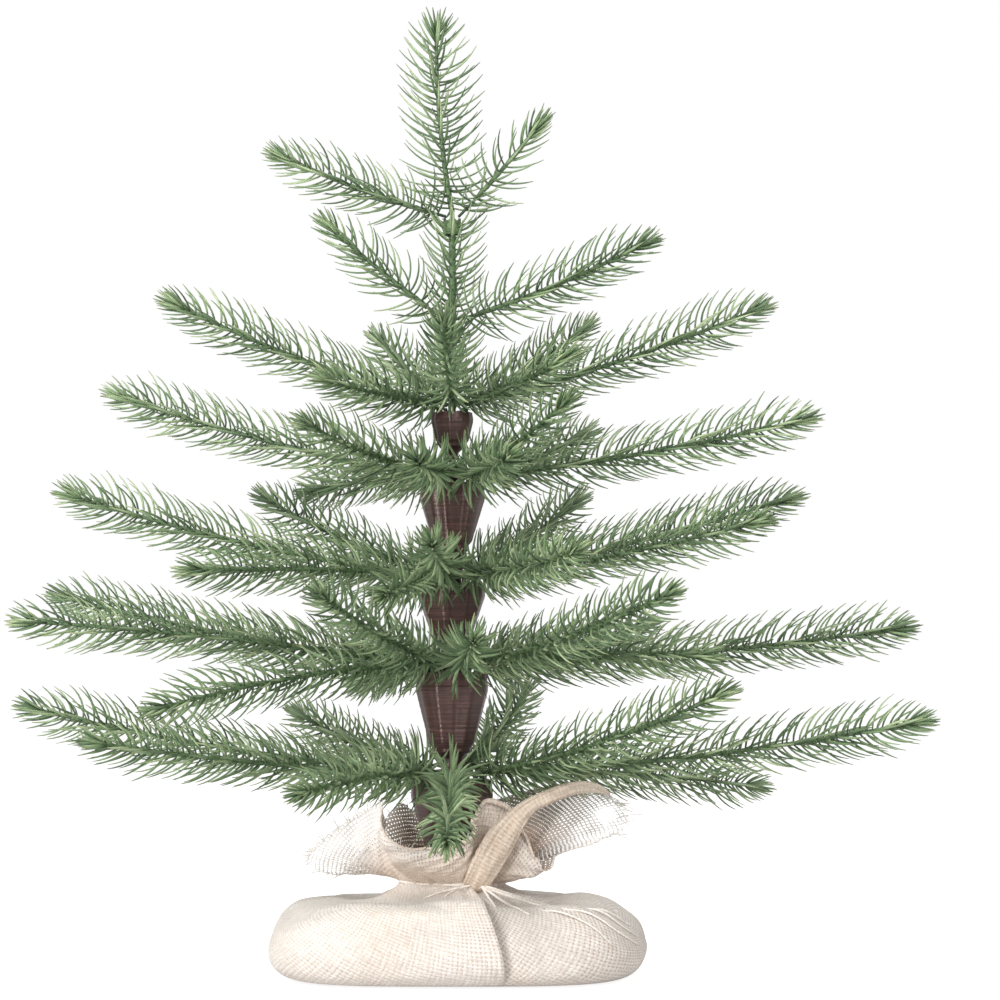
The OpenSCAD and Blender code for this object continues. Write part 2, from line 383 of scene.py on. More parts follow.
def fibre_material():
    """Loose jute fibres and twine: pale straw, darker in the twist."""
    n = Nodes("jute_fibre")
    place = object_place(n)
    twist = n.noise(700.0, place, 4.0)
    colour = n.ramp(twist, (0.3, (0.76, 0.67, 0.58)), (0.52, (0.91, 0.85, 0.78)), (0.7, (0.98, 0.95, 0.92)))
    n.bump(n.noise(4200.0, place, 3.0), 0.0003, 0.8)
    return n.finish(Base_Color=colour, Roughness=0.85, Specular_IOR_Level=0.15, Sheen_Weight=0.3)


def thread_material():
    """Glossy dark maroon-brown wound thread: a stretched highlight across fine turns."""
    n = Nodes("wound_thread")
    place = object_place(n)
    level = n.node("CombineXYZ", Z=n.math("MULTIPLY", n.part(place)[2], 1900.0))
    lines = n.noise(1.0, n.vector("ADD", level, i1=n.vector("SCALE", place, Scale=30.0)), 2.0)
    colour = n.ramp(
        lines, (0.25, (0.020, 0.008, 0.007)), (0.5, (0.050, 0.021, 0.019)), (0.78, (0.125, 0.056, 0.050))
    )
    n.bump(lines, 0.00014, 0.6)
    turns = n.node("Tangent", settings={"direction_type": "RADIAL", "axis": "Z"})
    rough = n.math("ADD", 0.26, n.math("MULTIPLY", lines, 0.14))
    return n.finish(
        Base_Color=colour, Roughness=rough, Sheen_Weight=0.1,
        Specular_IOR_Level=1.0, Specular_Tint=(1.0, 0.78, 0.74, 1),
        Anisotropic=0.85, Anisotropic_Rotation=0.25, Tangent=turns,
    )


def tape_material():
    n = Nodes("green_floral_tape")
    place = object_place(n)
    colour = n.ramp(n.noise(500.0, place, 4.0), (0.3, (0.085, 0.145, 0.066)), (0.7, (0.165, 0.250, 0.118)))
    n.bump(n.noise(1100.0, place, 3.0), 0.0004, 0.7)
    return n.finish(Base_Color=colour, Roughness=0.7)


def steel_material():
    n = Nodes("brown_coated_steel")
    place = object_place(n)
    colour = n.ramp(n.noise(300.0, place, 4.0), (0.3, (0.020, 0.011, 0.009)), (0.7, (0.045, 0.026, 0.021)))
    n.bump(n.noise(1600.0, place, 2.0), 0.0001, 0.4)
    return n.finish(Base_Color=colour, Roughness=0.38, Metallic=0.4)


def cement_material():
    n = Nodes("cast_cement")
    place = object_place(n)
    pits = n.node("TexVoronoi", "Distance", Vector=place, Scale=190.0)
    grain = n.noise(850.0, place, 6.0)
    colour = n.ramp(n.noise(60.0, place, 6.0), (0.3, (0.30, 0.29, 0.27)), (0.7, (0.52, 0.51, 0.48)))
    n.bump(n.math("ADD", grain, n.ramp(pits, (0.05, (0, 0, 0)), (0.2, (1, 1, 1)))), 0.0008, 0.7)
    return n.finish(Base_Color=colour, Roughness=0.93)


NEEDLES, STEM, WIRE = needle_material(), stem_material(), wire_material()
BURLAP, SHEER = burlap_material("burlap_over_weight", False), burlap_material("burlap_collar_cloth", True)
# painted shade: the folded edge is tinted tan all over, standing in for light scattered inside the fold
BURLAP_FOLD = burlap_material("burlap_folded_edge", False, (0.97, 0.89, 0.80))
FIBRE, THREAD, TAPE = fibre_material(), thread_material(), tape_material()
STEEL, CEMENT = steel_material(), cement_material()


# ---------------------------------------------------------------- sprigs


HINGE_END = 3 * MM  # the rounded bend of the wire, left out when a centreline is read


class Spine:
    """A sprig's centreline, read back from its CAD rod: from its root, outwards, in the plane of its bend."""

    def __init__(self, node, root, outward, side):
        co = np.array([v.co for v in frame["nodes"][node].data.vertices], float).reshape(-1, 3) - root
        self.root, self.outward, self.side = root, outward, side
        co = co[co @ outward > HINGE_END]
        reach, lift = co @ outward, co @ side
        self.length = reach.max()
        basis = np.stack([reach, reach**2], axis=1)
        self.slope, self.curve = np.linalg.lstsq(basis, lift, rcond=None)[0]

    def at(self, x):
        x = np.asarray(x, float)[:, None]
        return self.root + x * self.outward + (self.slope * x + self.curve * x**2) * self.side

    def tangent(self, x):
        x = np.asarray(x, float)
        return unit(self.outward + (self.slope + 2 * self.curve * x)[:, None] * self.side)


def branch_spine(node):
    joint = JOINTS[node]
    root, axis = np.array(joint["pos_m"]), np.array(joint["axis"])
    return Spine(node, root, np.array([-axis[1], axis[0], 0.0]), UP)


WHORL = 3.7 * MM  # distance from one ring of needles to the next
IN_RING = 4  # needles in a ring
GIRTH = np.array([0.70, 0.84, 0.86, 0.82, 0.74, 0.56, 0.28]) * MM  # a needle's half-width, base to end
NEEDLE_SIDES = 4
FIRST_NEEDLES = 4.5 * MM  # from the bend in the wire
TIP = 34 * MM  # length over which a sprig closes towards its end
TUFT = 7 * MM  # length of the bundle at its end


def needles(
    shape, spine, first, last, rng, longest=26.5 * MM, leave_deg=71, arrive_deg=23, tuft=18, foot=0.7 * MM
):
    """Sickle-shaped needles in rings, every other ring turned by an eighth, closing to a bundle at the tip.

    They stand squarer to the sprig near the trunk, to hang over the bindings, but not those just below it.
    leave_deg and arrive_deg are the angles to the sprig at a needle's two ends, tuft the number of needles in
    the bundle, and foot how far out from the centreline they start.
    """
    rings = int((last - first) / WHORL)
    ring = np.repeat(np.arange(rings), IN_RING)
    place = first + ring * WHORL
    roll = (np.tile(np.arange(IN_RING), rings) / IN_RING + (ring % 2) / 8) * 2 * math.pi + ring * 0.05
    close = np.zeros(len(place))
    if tuft:
        place = np.concatenate([place, last - (np.arange(tuft) / tuft) * TUFT])
        roll = np.concatenate([roll, np.arange(tuft) * 2.4])
        close = np.concatenate([close, 1 - 0.6 * np.arange(tuft) / tuft])
    count = len(place)
    place = np.clip(place + rng.normal(0, 0.35 * MM, count), first, last)
    roll = roll + rng.normal(0, 0.10, count)
    near_tip = smooth(place, last - TIP, last) if tuft else np.zeros(count)
    size = longest * (1 - 0.36 * near_tip - 0.10 * close) * rng.uniform(0.93, 1.05, count)
    along = spine.tangent(place)
    level = unit(np.cross(along, spine.side + 0.3 * spine.outward))
    upright = np.cross(level, along)
    outwards = np.cos(roll)[:, None] * level + np.sin(roll)[:, None] * upright
    across = np.cross(along, outwards)
    above = np.sin(roll)
    square = (1 - smooth(place, 8 * MM, 34 * MM)) * (tuft > 0)
    square = square * (1 - 0.8 * smooth(-above, 0.1, 0.8) * (1 - smooth(place, 7 * MM, 15 * MM)))
    leave = leave_deg + 9 * above + rng.normal(0, 4, count) - 30 * near_tip - 26 * close + 24 * square
    arrive = arrive_deg + 4 * above + rng.normal(0, 4, count) - 6 * near_tip - 4 * close + 34 * square
    leave, arrive = np.radians(leave), np.radians(arrive)
    steps, sides = len(GIRTH), NEEDLE_SIDES
    q = np.linspace(0, 1, steps)
    turn = leave[:, None] + (arrive - leave)[:, None] * q[None, :] ** 0.9
    heading = np.cos(turn)[..., None] * along[:, None] + np.sin(turn)[..., None] * outwards[:, None]
    heading = unit(heading + rng.normal(0, 0.06, count)[:, None, None] * q[None, :, None] * across[:, None])
    middle = (heading[:, 1:] + heading[:, :-1]) / 2 * (size / (steps - 1))[:, None, None]
    path = np.concatenate([np.zeros((count, 1, 3)), np.cumsum(middle, axis=1)], axis=1)
    path += (spine.at(place) + outwards * foot)[:, None]
    girth = rng.uniform(0.92, 1.10, count)[:, None] * GIRTH[None, :]
    angle = np.linspace(0, 2 * math.pi, sides, endpoint=False)
    normal = unit(np.cross(heading, across[:, None]))
    rim = np.cos(angle)[None, None, :, None] * across[:, None, None]
    rim = rim + 0.75 * np.sin(angle)[None, None, :, None] * normal[:, :, None]
    skin = path[:, :, None] + girth[:, :, None, None] * rim
    point = path[:, -1] + heading[:, -1] * 0.8 * MM
    each = steps * sides + 1
    verts = np.concatenate([skin.reshape(count, -1, 3), point[:, None]], axis=1).reshape(-1, 3)
    one = grid_faces(steps, sides, True)
    c, end = np.arange(sides), (steps - 1) * sides
    cap = np.stack([np.full(sides, each - 1), end + c, end + (c + 1) % sides], axis=1)
    offset = (np.arange(count) * each)[:, None, None]
    values = np.concatenate([np.repeat(q, sides), [1.0]])
    shape.add(
        verts,
        [(one[None] + offset).reshape(-1, 4), (cap[None] + offset).reshape(-1, 3)],
        along=np.tile(values, count),
        tint=np.repeat(np.clip(rng.normal(0.5, 0.25, count), 0, 1), each),
    )


def moulded_stem(shape, spine, first, last, rng, thick, thin):
    """The stem itself: tapering, with a low seat under every ring of needles."""
    count = max(12, int((last - first) / (1.0 * MM)))
    x = np.linspace(first, last, count)
    seats = 1 + 0.12 * np.cos((x - first) / WHORL * 2 * math.pi) + rng.normal(0, 0.02, count)
    radii = np.interp(x, [first, last], [thick, thin]) * seats
    radii[-1] = thin * 0.5
    verts, faces = sweep(spine.at(x), radii, 8)
    shape.add(verts, faces, kind=1, along=np.linspace(0, 1, len(verts)), tint=0.5)


def sprig(node, body, spine, seed, bare=13 * MM, **shape_of_needles):
    """One whole sprig: bare bent wire, moulded stem, needles and tip."""
    rng = np.random.default_rng(seed)
    shape = Shape()
    last = spine.length - 2 * MM
    moulded_stem(shape, spine, bare - 2 * MM, last + 1 * MM, rng, 1.75 * MM, 1.05 * MM)
    needles(shape, spine, min(bare, FIRST_NEEDLES), last, rng, **shape_of_needles)
    wire, faces = sweep(spine.at(np.linspace(-0.6 * MM, bare, 10)), 0.95 * MM, 8)
    shape.add(wire, faces, kind=2, along=0.0, tint=0.5)
    return shape.build(node + "_sprig", body, "green_moulding", [NEEDLES, STEM, WIRE], replaces=[node])


for seed, node in enumerate(sorted(n for n in frame["nodes"] if "_branch_" in n)):
    sprig(node, node, branch_spine(node), seed)

RIGHT = np.array([1.0, 0, 0])
leader_spine = Spine("leader_tip", np.array(JOINTS["leader"]["pos_m"]), UP, RIGHT)
sprig("leader_tip", "leader", leader_spine, 900, bare=3 * MM, longest=32 * MM, leave_deg=80, arrive_deg=40)

TAPE_TALL = 9 * MM
TAPE_LOW, TAPE_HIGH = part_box("tape_bindings")[0].z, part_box("tape_bindings")[1].z - TAPE_TALL


def upper_stem():
    """The green stem that carries the top of the tree, feathered from the last binding up to the leader."""
    low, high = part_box("upper_stem")
    foot = np.array([(low.x + high.x) / 2, (low.y + high.y) / 2, low.z])
    spine = Spine("upper_stem", foot, UP, RIGHT)
    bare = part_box("thread_wrap_5")[1].z - low.z
    shape, rng = Shape(), np.random.default_rng(901)
    thick = (high.x - low.x) / 2
    moulded_stem(shape, spine, 1 * MM, spine.length - 1 * MM, rng, 0.62 * thick, 0.55 * thick)
    needles(shape, spine, bare, spine.length - 2 * MM, rng, leave_deg=78, arrive_deg=34, tuft=0)
    for tape in (TAPE_LOW, TAPE_HIGH):
        start = tape - low.z
        needles(shape, spine, start, start + TAPE_TALL, rng, longest=22 * MM, tuft=0, foot=5.2 * MM)
    looks = [NEEDLES, STEM]
    shape.build("upper_stem_feathered", "trunk", "green_moulding", looks, replaces=["upper_stem"])


upper_stem()


# ---------------------------------------------------------------- wound thread, tape, tube and weight


def azimuths(tier):
    """The directions of a tier's bound stems, in radians, from its joints."""
    roots = [j["pos_m"] for child, j in JOINTS.items() if child.startswith(f"tier{tier}_")]
    return np.array([math.atan2(y, x) for x, y, _ in roots])


THREAD_TURN = 0.9 * MM


def wound_sleeve(tier):
    """Thread wound from the bare trunk up over the splaying stems: fine turns, and a rib over every stem."""
    node = f"thread_wrap_{tier}"
    vertices = frame["nodes"][node].data.vertices
    co = np.array([v.co for v in vertices], float).reshape(-1, 3)
    normals = np.array([v.normal for v in vertices], float).reshape(-1, 3)
    co = co[(co[:, :2] * normals[:, :2]).sum(axis=1) > 0]
    level = np.round(co[:, 2], 5)
    heights = np.unique(level)
    radii = np.array([np.linalg.norm(co[level == h, :2], axis=1).max() for h in heights])
    z = np.arange(heights[0], heights[-1], THREAD_TURN / 5)
    outline = through(np.stack([heights, radii, np.zeros(len(heights))], axis=1), 160)
    r = np.interp(z, outline[:, 0], outline[:, 1])
    spread_over = np.hanning(33)
    r = np.convolve(np.pad(r, 16, mode="edge"), spread_over / spread_over.sum(), mode="valid")
    sides = 72
    angle = np.linspace(-math.pi, math.pi, sides, endpoint=False)
    apart = np.abs((angle[:, None] - azimuths(tier)[None, :] + math.pi) % (2 * math.pi) - math.pi)
    ribs = np.exp(-((apart / 0.15) ** 2)).sum(axis=1) - 0.4
    spread = smooth(r, radii.min(), radii.max())
    rng = np.random.default_rng(40 + tier)
    uneven = 0.12 * MM * waves(rng, 6, 8, 40)(z / (90 * MM) * 2 * math.pi)
    turns = z[:, None] / THREAD_TURN + angle[None, :] / (2 * math.pi)
    wave = np.abs(np.sin(math.pi * turns)) ** 0.7
    rim = r[:, None] + uneven[:, None] + 0.10 * MM * wave + 1.0 * MM * ribs[None, :] * spread[:, None]
    inner = np.maximum(r - 1.6 * MM, 0.6 * r)[::-1]
    rim = np.vstack([rim, np.repeat(inner[:, None], sides, axis=1)])
    tall = np.concatenate([z, z[::-1]])
    tall = np.repeat(tall[:, None], sides, axis=1)
    ring = np.stack([rim * np.cos(angle), rim * np.sin(angle), tall], axis=-1)
    shape = Shape()
    shape.add(ring, [grid_faces(len(ring), sides, True)])
    shape.build(node + "_wound", "trunk", "brown_thread", [THREAD], replaces=[node])


for tier in range(1, 6):
    wound_sleeve(tier)


def finish_cad(node, material):
    """A CAD node whose shape is right keeps it, and gets its material."""
    obj = frame["nodes"][node]
    obj.data.materials.clear()
    obj.data.materials.append(material)


finish_cad("cement_base", CEMENT)
finish_cad("trunk_tube", STEEL)
finish_cad("bound_stems", WIRE)


def wound_tape():
    """Floral tape wound over the stems at the two top tiers: overlapping turns, barrel-shaped, crinkled."""
    shape = Shape()
    rng = np.random.default_rng(60)
    sides, rows = 40, 46
    angle = np.linspace(-math.pi, math.pi, sides, endpoint=False)[None, :]
    for foot in (TAPE_LOW, TAPE_HIGH):
        q = np.linspace(0, 1, rows)[:, None]
        barrel = 3.4 + 2.9 * np.sin(math.pi * np.clip(0.10 + 0.80 * q, 0, 1)) ** 0.8
        turns = 0.35 * ((3.0 * q + angle / (2 * math.pi)) % 1)
        crinkle = waves(rng, 8, 5, 17)(angle + 3 * q) * 0.22 + 0.16 * waves(rng, 6, 3, 9)(8 * q)
        r = (barrel + turns + crinkle) * MM
        z = np.broadcast_to(foot + TAPE_TALL * q, r.shape)
        ring = np.stack([r * np.cos(angle), r * np.sin(angle), z], axis=-1)
        shape.add(ring, [grid_faces(rows, sides, True)])
    shape.build("tape_bindings_wound", "trunk", "green_tape", [TAPE], replaces=["tape_bindings"])


wound_tape()


# ---------------------------------------------------------------- burlap over the weight


LOW, HIGH = (np.array(corner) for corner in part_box("burlap_wrap"))
BAG_X = (LOW[0] + HIGH[0]) / 2
HALF = (HIGH[:2] - LOW[:2]) / 2
NECK_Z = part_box("neck_twine")[0].z + 2 * MM
NECK_R = 31 * MM

# The bag's outline from the neck down to the middle of its underside: [percent of the way out to the plan's
# rounded square, then height in mm]
OUTLINE = through(
    [[0, 57], [4, 52], [14, 49.5], [40, 50.5], [62, 53.5], [79, 54.5], [91, 50], [98, 40], [101, 27],
     [101, 16], [98.5, 7.5], [92, 2.2], [80, 1.0], [40, 1.0], [3, 1.0]],
    260,
)
DOWN = np.linspace(0, 1, len(OUTLINE))
WIDEST = DOWN[OUTLINE[:, 0].argmax()]
SHOULDER = 0.37  # where the outline turns from the bag's top to its side


def plan(theta):
    """Distance from the bag's middle to its side, seen from above: a square with full, rounded corners."""
    power = 3.6
    c, s = np.abs(np.cos(theta)) / HALF[0], np.abs(np.sin(theta)) / HALF[1]
    return (c**power + s**power) ** (-1 / power)


def bag_skin(theta, t, proud=0.0):
    """The bag's plain form at direction theta and place t down its outline, 0 at the neck."""
    side, z = (np.interp(t, DOWN, OUTLINE[:, k]) for k in (0, 1))
    neck = np.where(t < WIDEST, np.maximum(0, 100 - side), 0)
    r = (neck * NECK_R + side * plan(theta)) / 100 + proud
    return np.stack([r * np.cos(theta) + BAG_X * side / 100, r * np.sin(theta), z * MM], axis=-1)


def bag_relief(theta, t):
    """How far the cloth stands out of the bag's plain form: gathers at the neck, slack folds, soft lumps."""
    rng = np.random.default_rng(7)
    gathers, folds = waves(rng, 7, 13, 31), waves(rng, 5, 5, 11)
    lumps, slow = waves(rng, 5, 2, 6), waves(rng, 4, 2, 5)
    near_neck = 1 - smooth(t, 0.03, 0.26)
    top = smooth(t, 0.02, 0.16) * (1 - smooth(t, 0.36, 0.48))
    wall = smooth(t, 0.34, 0.46) * (1 - smooth(t, 0.56, 0.64))
    lean = theta + 0.35 * np.sin(7 * t + 1.0)
    crease = 1 - np.abs(np.sin(2.5 * lean + 0.8 + 1.5 * t)) ** 0.45
    crease_two = 1 - np.abs(np.sin(3.5 * lean - 2.2 * t)) ** 0.5
    out = 2.8 * near_neck * (gathers(theta) + 0.35)
    out = out + top * (3.6 * folds(lean) + 3.0 * lumps(theta - 2 * t) - 3.6 * crease)
    dents = 2.6 * lumps(theta + 5 * t) + 1.8 * folds(theta + 2 * t) + 1.4 * slow(theta - 9 * t)
    return (out + wall * (dents - 2.4 * crease_two)) * MM


# The edge where the front panel laps over the right-hand one: place down the outline, direction in degrees
FOLD_LINE = [
    (0, -62), (0.12, -70), (0.24, -77), (SHOULDER, -81), (0.46, -78), (0.58, -74.5), (1, -74),
]
LAP = math.radians(10)  # width of cloth hidden under the lap
LAP_PROUD = 7.5  # how far the lapping edge stands off, in mm


def theta_of(co):
    """Direction of points from the trunk, in degrees."""
    return np.degrees(np.arctan2(co[..., 1], co[..., 0]))


def bag_cloth(theta, t, proud=0.0):
    """The cloth itself: the bag's plain form with its relief, sagging round the neck, flat on the floor."""
    relief = bag_relief(theta, t)
    co = bag_skin(theta, t, relief * 0.55 * (1 - smooth(t, 0.60, 0.66)) + proud)
    upper = 1 - smooth(t, SHOULDER, 0.52)
    co[..., 2] += upper * (relief * 0.8 + proud * 0.4)
    behind = smooth(co[..., 1], -0.05, 0.06) * upper * smooth(t, 0.04, 0.15)
    co[..., 2] -= behind * 12 * MM
    before = smooth(-co[..., 1], 0.010, 0.075) * upper * smooth(t, 0.03, 0.14)
    hollow = np.exp(-(((theta_of(co) + 62) / 17) ** 2)) * smooth(t, 0.03, 0.12) * (1 - smooth(t, 0.26, 0.36))
    co[..., 2] -= (6.0 * before + 4.5 * hollow) * MM
    to_side = smooth(np.abs(co[..., 0] - BAG_X), 0.072, 0.114)
    co[..., 2] -= 8.5 * MM * to_side * smooth(co[..., 2], 0.010, 0.044)
    co[..., 2] = np.maximum(co[..., 2], 0.6 * MM)
    return co


def burlap_bag():
    """The bag: one sheet wrapped all the way round, its front edge turned under and lapped over its start."""
    rows, around, turned = 132, 400, 9
    t = np.linspace(0, 1, rows) ** 0.94
    share = np.linspace(0, 1, around)
    under = 2 * math.pi - 0.075 * np.sin(np.linspace(0, 1, turned) * 1.4)
    theta = np.concatenate([-LAP + (2 * math.pi + LAP) * share, under])[None, :]
    lap = LAP_PROUD * smooth(share, 0.80, 0.985) - 3.5 * (1 - smooth(share, 0.03, 0.12))
    proud = np.concatenate([lap, LAP_PROUD - 9.0 * np.linspace(0.10, 1, turned)])[None, :] * MM
    edge = smooth(t, 0.02, 0.12) * (1 - 0.45 * smooth(t, 0.42, 0.52) - 0.55 * smooth(t, 0.52, 0.66))
    line = np.radians(np.interp(t, *zip(*FOLD_LINE)))
    line = np.convolve(np.pad(line, 6, mode="edge"), np.full(13, 1 / 13), mode="valid")
    grid_t = np.broadcast_to(t[:, None], (rows, theta.shape[1]))
    co = bag_cloth(theta + line[:, None], grid_t, proud * edge[:, None])
    length = np.linalg.norm(np.diff(OUTLINE, axis=0), axis=1).sum() * 1.1 * MM
    radius = (0.172 - np.abs(t - SHOULDER) * length)[:, None]
    sheet = Shape()
    sheet.add(co, [grid_faces(rows, theta.shape[1], False)[:, ::-1]])
    way = math.pi / 4 + theta * 7 / 8
    sheet.uv = np.stack([radius * np.cos(way), radius * np.sin(way)], axis=-1).reshape(-1, 2)
    return sheet.build("burlap_bag", "trunk", "burlap", [BURLAP], replaces=["burlap_wrap"])


# The collar's cloth, column by column, from the right of its front pocket round by the left: direction at
# the neck in degrees, a point half-way up and a point on the rim, both in mm, and how sheer the rim is
COLLAR = [
    [288, (11, -39, 71), (15, -41, 90), 0.1],
    [276, (1, -43, 68), (3, -46, 81), 0.16],
    [262, (-14, -45, 67), (-15, -48, 79), 0.28],
    [246, (-29, -42, 69), (-32, -46, 82), 0.34],
    [230, (-39, -34, 74), (-43, -37, 93), 0.32],
    [216, (-38, -24, 78), (-42, -26, 104), 0.45],
    [204, (-41, -14, 77), (-51, -14, 103), 0.7],
    [192, (-50, -8, 69), (-74, -8, 88), 0.85],
    [182, (-54, 0, 63), (-92, -4, 70), 1.0],
    [172, (-46, 8, 60), (-72, 10, 59), 0.8],
    [156, (-36, 18, 68), (-52, 24, 80), 0.6],
    [138, (-28, 26, 78), (-36, 38, 101), 0.4],
    [118, (-18, 36, 76), (-24, 50, 98), 0.4],
    [98, (-2, 38, 77), (-4, 42, 103), 0.4],
    [78, (12, 37, 76), (16, 48, 100), 0.4],
    [56, (26, 32, 80), (38, 40, 108), 0.4],
    [38, (40, 22, 86), (68, 22, 114), 0.4],
    [24, (50, 10, 88), (92, 4, 112), 0.7],
    [12, (56, 2, 84), (108, -6, 104), 1.0],
    [0, (56, -6, 77), (108, -12, 90), 1.0],
    [-10, (50, -12, 71), (88, -16, 80), 0.8],
    [-20, (47, -20, 64), (67, -24, 76), 0.5],
    [-30, (48, -27, 61), (63, -33, 68), 0.42],
    [-40, (43, -33, 61), (56, -39, 67), 0.34],
    [-48, (35, -34, 67), (46, -38, 85), 0.25],
    [-54, (28, -33, 76), (38, -34, 101), 0.1],
    [-60, (21, -34, 79), (29, -34, 107), 0.1],
    [-66, (16, -36, 78), (20, -36, 107), 0.1],
    [-71, (13, -38, 74), (14, -38, 98), 0.1],
]


COLLAR_FOOT = 56.0  # height where it leaves the neck, in mm
COLLAR_ROUND = 0.62  # length of cloth round it


def collar_grid(rows, columns):
    """Places on the collar: a loop of columns, each curving up from the neck to its rim."""
    at = np.radians([row[0] for row in COLLAR])
    neck_r = NECK_R / MM
    neck = np.stack([neck_r * np.cos(at), neck_r * np.sin(at), np.full(len(at), COLLAR_FOOT)], axis=1)
    middle, rim = (np.array([row[k] for row in COLLAR], float) for k in (1, 2))
    sheer = np.array([row[3] for row in COLLAR])
    control = np.concatenate([neck, middle, rim, sheer[:, None]], axis=1)
    loop = np.vstack([control[-1:], control, control[:2]])
    t = np.linspace(0, 1, 40, endpoint=False)[:, None]
    fine = [between(*loop[i : i + 4], t) for i in range(len(control))]
    fine = np.vstack(fine + [fine[0][:1]])
    walked = walk(fine[:, 3:9])
    wanted = np.linspace(0, walked[-1], columns)
    even = np.stack([np.interp(wanted, walked, fine[:, k]) for k in range(10)], axis=1)
    s = np.linspace(0, 1, rows)[:, None, None]
    n, m, r = even[None, :, 0:3], even[None, :, 3:6], even[None, :, 6:9]
    pull = 2 * m - (n + r) / 2
    co = n * (1 - s) ** 2 + 2 * pull * s * (1 - s) + r * s**2
    return co * MM, s[..., 0], even[None, :, 9], wanted / walked[-1] * COLLAR_ROUND


def hem(co, width):
    """Rows that roll the collar's rim over outwards, each column by its own width."""
    top = co[-1]
    rising = unit(co[-1] - co[-5])
    outward = unit(np.cross(np.gradient(top, axis=0), rising))
    outward *= np.where((outward * (top - [0, 0, 0.03])).sum(axis=1, keepdims=True) < 0, -1, 1)
    turn = np.linspace(0, 1, 13)[1:, None, None] * math.radians(250)
    return top + width[None, :, None] * (np.sin(turn) * rising + (1 - np.cos(turn)) * outward)


def burlap_collar():
    """The cloth above the twine: gathered at the neck and flaring into loose folds with a raw, sheer edge."""
    rows, columns = 64, 620
    co, s, sheer, u = collar_grid(rows, columns)
    rng = np.random.default_rng(11)
    phase = np.linspace(0, 2 * math.pi, columns)[None, :]
    gathers, ripple, slack = waves(rng, 8, 24, 60), waves(rng, 6, 12, 30), waves(rng, 6, 6, 18)
    across = unit(np.cross(np.gradient(co, axis=1), np.gradient(co, axis=0)))
    depth = 1.5 * (1 - smooth(s, 0.02, 0.55)) * gathers(phase)
    depth = depth + 1.5 * smooth(s, 0.1, 0.5) * ripple(phase + 0.8 * s)
    depth = depth + 1.4 * smooth(s, 0.2, 1) * slack(phase - 1.1 * s)
    co = co + across * depth[..., None] * MM
    co[-1, :, 2] += rng.normal(0, 0.4 * MM, columns) * sheer[0]
    width = (1.7 * (1 - smooth(sheer[0], 0.1, 0.5)) + 0.05) * MM
    rolled = hem(co, width)
    cloth = np.concatenate([co, rolled])
    opened = np.broadcast_to(sheer * smooth(s, 0.25, 0.95), (rows, columns))
    opened = np.concatenate([opened, np.zeros((len(rolled), columns))])
    steps = np.linalg.norm(np.diff(cloth, axis=0), axis=2)
    v = np.concatenate([np.zeros((1, columns)), np.cumsum(steps, axis=0)])
    sheet = Shape()
    hemmed = np.repeat(np.arange(len(cloth)) >= rows - 3, columns)
    sheet.add(cloth, [grid_faces(len(cloth), columns, False)], sheer=opened, hem=hemmed)
    sheet.uv = np.stack(np.broadcast_arrays(u[None, :], v), axis=-1).reshape(-1, 2)
    sheet.build("burlap_collar", "trunk", "burlap", [SHEER])
    return co


# The cloth's folded side edge, which rises out of the neck over the right of the collar: points along it and
# its half-width there, in mm
FOLDED_EDGE = [
    (13, -29, 54, 7.5), (18, -37, 63, 9.0), (25, -43, 76, 10.0), (32, -45, 88, 9.5), (40, -45, 98, 7.0),
    (49, -43, 106, 5.0), (62, -40, 112, 4.8), (76, -36, 116, 4.4), (90, -30, 116, 3.6), (99, -22, 112, 1.6),
]


def folded_edge():
    """A flattened roll of cloth, twisting a little, with creases running along it."""
    rows, sides = 110, 44
    fine = through(FOLDED_EDGE, rows)
    path, half = fine[:, :3] * MM, fine[:, 3] * MM
    along = unit(np.gradient(path, axis=0))
    q = np.linspace(0, 1, rows)
    facing = np.stack([0.25 + 0.2 * q, -np.ones(rows), 0.15 + 0.5 * q], axis=1)
    facing = unit(facing - along * (facing * along).sum(axis=1, keepdims=True))
    across = np.cross(along, facing)
    share = np.linspace(0, 1, sides)[None, :]
    angle = math.pi / 2 - 0.5 + share * 2 * math.pi * 1.12
    rng = np.random.default_rng(21)
    creases, slow = waves(rng, 5, 3, 9), waves(rng, 5, 1, 4)
    swing = angle + 0.9 * q[:, None] + 0.3 * slow(q * 5)[:, None]
    plump = (0.84 + 0.20 * share) * (1 + 0.09 * creases(swing) + 0.05 * creases(3 * swing + 6 * q[:, None]))
    flat = np.interp(q, [0, 0.42, 0.6, 1], [0.26, 0.24, 0.55, 0.5])[:, None]
    wide = half[:, None] * np.sign(np.cos(angle)) * np.abs(np.cos(angle)) ** 0.8 * plump
    deep = half[:, None] * flat * np.sin(angle) * (plump + 0.25 * np.sin(5 * swing))
    sag = (1.6 * slow(4 * q) * MM)[:, None, None]
    ring = path[:, None] + wide[..., None] * across[:, None] + (deep[..., None] + sag) * facing[:, None]
    sheet = Shape()
    sheet.add(ring, [grid_faces(rows, sides, False)])
    round_it = share * 0.046
    sheet.uv = np.stack(np.broadcast_arrays(round_it, q[:, None] * 0.13), axis=-1).reshape(-1, 2)
    sheet.build("collar_folded_edge", "trunk", "burlap", [BURLAP_FOLD])


